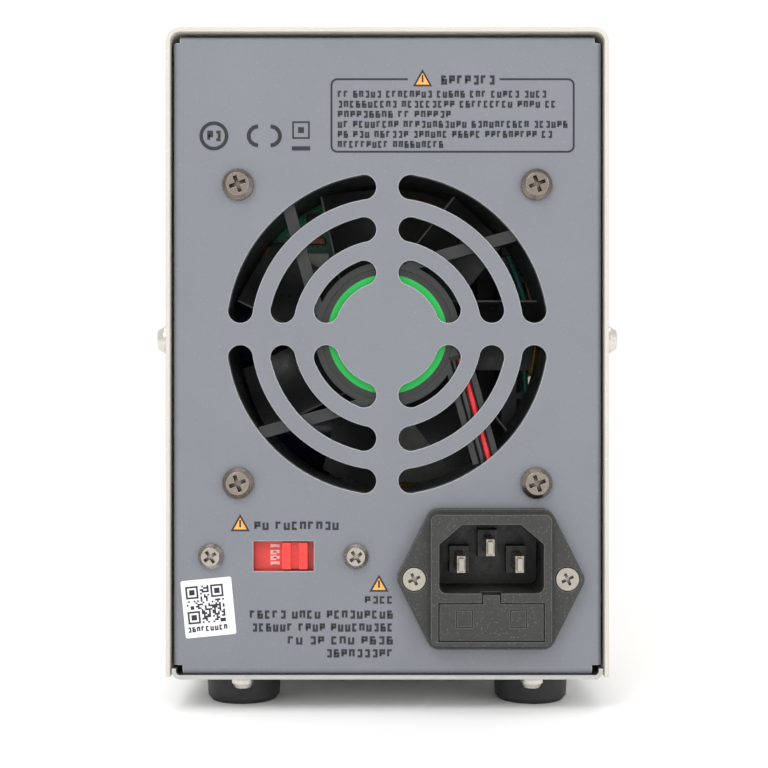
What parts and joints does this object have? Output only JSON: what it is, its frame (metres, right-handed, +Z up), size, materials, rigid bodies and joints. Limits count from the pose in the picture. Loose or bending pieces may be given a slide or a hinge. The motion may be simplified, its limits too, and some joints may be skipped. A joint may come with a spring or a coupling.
{
  "type": "bench power supply",
  "caption": "Upright bench power supply: folded steel case on rubber feet, rear fan behind a slotted grille, fused mains inlet, selector, front knob, keys and binding posts.",
  "frame": {"origin": "centre of the bounding box on the plane that the feet stand on", "axes": "+Z up, front panel towards -Y, rear panel with the fan and the inlet towards +Y, +X to the right seen from the front"},
  "size_m": [0.1118, 0.263, 0.1669],
  "materials": {
    "cream_paint": "fine textured powder coat",
    "grey_paint": "smooth satin powder coat",
    "zinc_steel": "zinc plated",
    "nickel": "nickel plated",
    "zinc_screw": "bright zinc plated",
    "bronze_screw": "plated",
    "steel": "ground",
    "bezel_plastic": "fine texture",
    "window": "tinted acrylic",
    "display": "matt face",
    "board_green": "solder mask",
    "black_plastic": "moulded",
    "inlet_plastic": "moulded, slightly glossy",
    "fan_plastic": "glass-filled moulding",
    "fan_label_green": "printed film",
    "copper": "enamelled",
    "wire_red": "PVC",
    "wire_brown": "PVC",
    "wire_yellow": "PVC",
    "ribbon_grey": "PVC",
    "red_plastic": "moulded",
    "green_plastic": "moulded",
    "white_paper": "paper sticker",
    "core_steel": "varnished laminations",
    "bobbin_plastic": "moulded nylon",
    "coil_tape": "polyester tape",
    "capacitor_sleeve": "shrink sleeve",
    "relay_blue": "moulded case",
    "chip_black": "epoxy",
    "heatsink_alu": "extruded",
    "brass": "turned",
    "foot_rubber": "moulded",
    "fuse_glass": "clear tube",
    "key_plastic": "moulded"
  },
  "bodies": {
    "chassis": {"base_tray": "zinc_steel", "rear_panel": "grey_paint", "top_cover": "cream_paint", "front_plate": "zinc_steel", "front_bezel": "bezel_plastic", "display_window": "window", "display_modules": "display", "front_board": "board_green", "tact_switches": "black_plastic", "encoder_body": "steel", "power_switch_body": "black_plastic", "post_bases": "black_plastic", "post_studs": "brass", "feet": "foot_rubber", "base_screws": "zinc_screw", "cover_screws": "zinc_screw", "fan_frame": "fan_plastic", "fan_stator": "copper", "fan_label": "fan_label_green", "fan_screws": "bronze_screw", "fan_leads": "wire_red", "inlet_housing": "inlet_plastic", "inlet_pins": "nickel", "inlet_screws": "nickel", "selector_body": "black_plastic", "selector_screws": "nickel", "serial_sticker": "white_paper", "transformer_core": "core_steel", "transformer_bobbin": "bobbin_plastic", "transformer_winding": "coil_tape", "transformer_frame": "zinc_steel", "main_board": "board_green", "inner_brackets": "zinc_steel", "filter_capacitors": "capacitor_sleeve", "relays": "relay_blue", "power_transistors": "chip_black", "heatsink": "heatsink_alu", "mains_leads": "wire_brown", "secondary_leads": "wire_yellow", "ribbon_cable": "ribbon_grey"},
    "fan": {"fan_rotor": "fan_plastic", "fan_shaft": "steel"},
    "selector": {"selector_slider": "red_plastic"},
    "drawer": {"fuse_drawer": "inlet_plastic", "fuse_tubes": "fuse_glass", "fuse_caps": "nickel"},
    "encoder": {"encoder_rotor": "bobbin_plastic"},
    "knob": {"encoder_shaft": "steel", "control_knob": "black_plastic"},
    "power_button": {"power_button": "red_plastic"},
    "insert_black": {"post_insert_black": "brass"},
    "cap_black": {"post_cap_black": "black_plastic"},
    "insert_green": {"post_insert_green": "brass"},
    "cap_green": {"post_cap_green": "green_plastic"},
    "insert_red": {"post_insert_red": "brass"},
    "cap_red": {"post_cap_red": "red_plastic"},
    "key_1": {"key_1": "key_plastic"},
    "key_2": {"key_2": "key_plastic"},
    "key_3": {"key_3": "key_plastic"},
    "key_4": {"key_4": "key_plastic"}
  },
  "joints": [
    {"name": "fan_spin", "type": "hinge", "parent": "chassis", "child": "fan", "pos_m": [0, 0.11395, 0.0907], "axis": [0, 1, 0], "continuous": true},
    {"name": "selector_slide", "type": "slide", "parent": "chassis", "child": "selector", "axis": [1, 0, 0], "range_m": [0, 0.0063]},
    {"name": "drawer_slide", "type": "slide", "parent": "chassis", "child": "drawer", "axis": [0, 1, 0], "range_m": [0, 0.018]},
    {"name": "encoder_turn", "type": "hinge", "parent": "chassis", "child": "encoder", "pos_m": [0.026, -0.11405, 0.086], "axis": [0, 1, 0], "continuous": true},
    {"name": "knob_push", "type": "slide", "parent": "encoder", "child": "knob", "axis": [0, 1, 0], "range_m": [0, 0.0005], "stiffness_N_per_m": 1500},
    {"name": "power_push", "type": "slide", "parent": "chassis", "child": "power_button", "axis": [0, 1, 0], "range_m": [0, 0.0035], "stiffness_N_per_m": 400},
    {"name": "black_post_lift", "type": "slide", "parent": "chassis", "child": "insert_black", "axis": [0, -1, 0], "range_m": [0, 0.004]},
    {"name": "black_post_turn", "type": "hinge", "parent": "insert_black", "child": "cap_black", "pos_m": [-0.005, -0.12205, 0.036], "axis": [0, -1, 0], "range_deg": [0, 1440]},
    {"name": "green_post_lift", "type": "slide", "parent": "chassis", "child": "insert_green", "axis": [0, -1, 0], "range_m": [0, 0.004]},
    {"name": "green_post_turn", "type": "hinge", "parent": "insert_green", "child": "cap_green", "pos_m": [0.01405, -0.12205, 0.036], "axis": [0, -1, 0], "range_deg": [0, 1440]},
    {"name": "red_post_lift", "type": "slide", "parent": "chassis", "child": "insert_red", "axis": [0, -1, 0], "range_m": [0, 0.004]},
    {"name": "red_post_turn", "type": "hinge", "parent": "insert_red", "child": "cap_red", "pos_m": [0.0331, -0.12205, 0.036], "axis": [0, -1, 0], "range_deg": [0, 1440]},
    {"name": "key_1_push", "type": "slide", "parent": "chassis", "child": "key_1", "axis": [0, 1, 0], "range_m": [0, 0.0004], "stiffness_N_per_m": 1000},
    {"name": "key_2_push", "type": "slide", "parent": "chassis", "child": "key_2", "axis": [0, 1, 0], "range_m": [0, 0.0004], "stiffness_N_per_m": 1000},
    {"name": "key_3_push", "type": "slide", "parent": "chassis", "child": "key_3", "axis": [0, 1, 0], "range_m": [0, 0.0004], "stiffness_N_per_m": 1000},
    {"name": "key_4_push", "type": "slide", "parent": "chassis", "child": "key_4", "axis": [0, 1, 0], "range_m": [0, 0.0004], "stiffness_N_per_m": 1000}
  ],
  "couplings": [
    {"joint": "black_post_turn", "follows": "black_post_lift", "rad_per_m": 6283.1},
    {"joint": "green_post_turn", "follows": "green_post_lift", "rad_per_m": 6283.1},
    {"joint": "red_post_turn", "follows": "red_post_lift", "rad_per_m": 6283.1}
  ]
}
